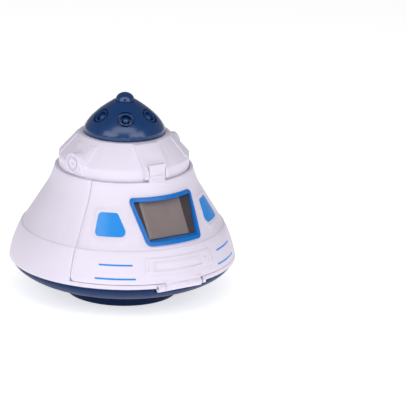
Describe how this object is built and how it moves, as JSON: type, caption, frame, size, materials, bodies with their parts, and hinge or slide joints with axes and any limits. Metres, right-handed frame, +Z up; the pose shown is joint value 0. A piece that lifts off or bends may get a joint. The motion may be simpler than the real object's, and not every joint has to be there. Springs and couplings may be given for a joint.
{
  "type": "toy space capsule",
  "caption": "Toy space capsule with a drop-down front hatch, a nose dome with a press button, a cabin with a seat, and a round foot that holds the batteries and speaker.",
  "frame": {"origin": "centre of the foot's flat underside, on the surface the toy stands on", "axes": "+Z up, the hatch faces -Y, +X is to the right for someone facing the hatch"},
  "size_m": [0.1608, 0.1609, 0.1445],
  "materials": {
    "hull_white": "satin moulded",
    "navy_gloss": "gloss moulded",
    "foot_navy": "satin moulded",
    "bright_blue": "gloss moulded",
    "blue_label": "printed foil",
    "smoke_clear": "tinted clear",
    "cabin_plastic": "matte moulded",
    "seat_plastic": "matte moulded",
    "console_plastic": "matte moulded",
    "steel": "bright zinc",
    "switch_black": "matte moulded",
    "light_clear": "clear lens",
    "board_green": "solder mask",
    "epoxy_black": "poured epoxy",
    "speaker_black": "coated paper and steel",
    "battery_jacket": "printed jacket",
    "wire_red": "insulation"
  },
  "bodies": {
    "capsule": {"lower_hull": "hull_white", "upper_collar": "hull_white", "nose_dome": "navy_gloss", "button_spring": "steel", "push_switch": "switch_black", "switch_bracket": "cabin_plastic", "cabin_light": "light_clear", "hinge_pin": "steel", "cabin_floor": "cabin_plastic", "rear_bulkhead": "cabin_plastic", "seat": "seat_plastic", "control_console": "console_plastic", "heat_shield": "navy_gloss", "shield_screws": "steel", "circuit_board": "board_green", "chip_cover": "epoxy_black", "board_screws": "steel", "foot_housing": "foot_navy", "foot_screws": "steel", "speaker": "speaker_black", "speaker_ring": "foot_navy", "power_switch": "switch_black", "batteries": "battery_jacket", "battery_springs": "steel", "battery_plates": "steel", "battery_door": "foot_navy", "door_screw": "steel", "collar_screws": "steel", "wires": "wire_red"},
    "hatch": {"hatch": "hull_white", "window_frame": "bright_blue", "window_pane": "smoke_clear", "side_window_labels": "blue_label", "stripe_labels": "blue_label"},
    "button": {"nose_button": "navy_gloss"},
    "switch": {"switch_slider": "switch_black"}
  },
  "joints": [
    {"name": "hatch_hinge", "type": "hinge", "parent": "capsule", "child": "hatch", "pos_m": [0, -0.0776, 0.026], "axis": [1, 0, 0], "range_deg": [0, 118]},
    {"name": "button_press", "type": "slide", "parent": "capsule", "child": "button", "axis": [0, 0, -1], "range_m": [0, 0.002], "stiffness_N_per_m": 400, "springref_m": -0.001, "deforming": ["button_spring"]},
    {"name": "switch_slide", "type": "slide", "parent": "capsule", "child": "switch", "axis": [1, 0, 0], "range_m": [0, 0.004]}
  ]
}
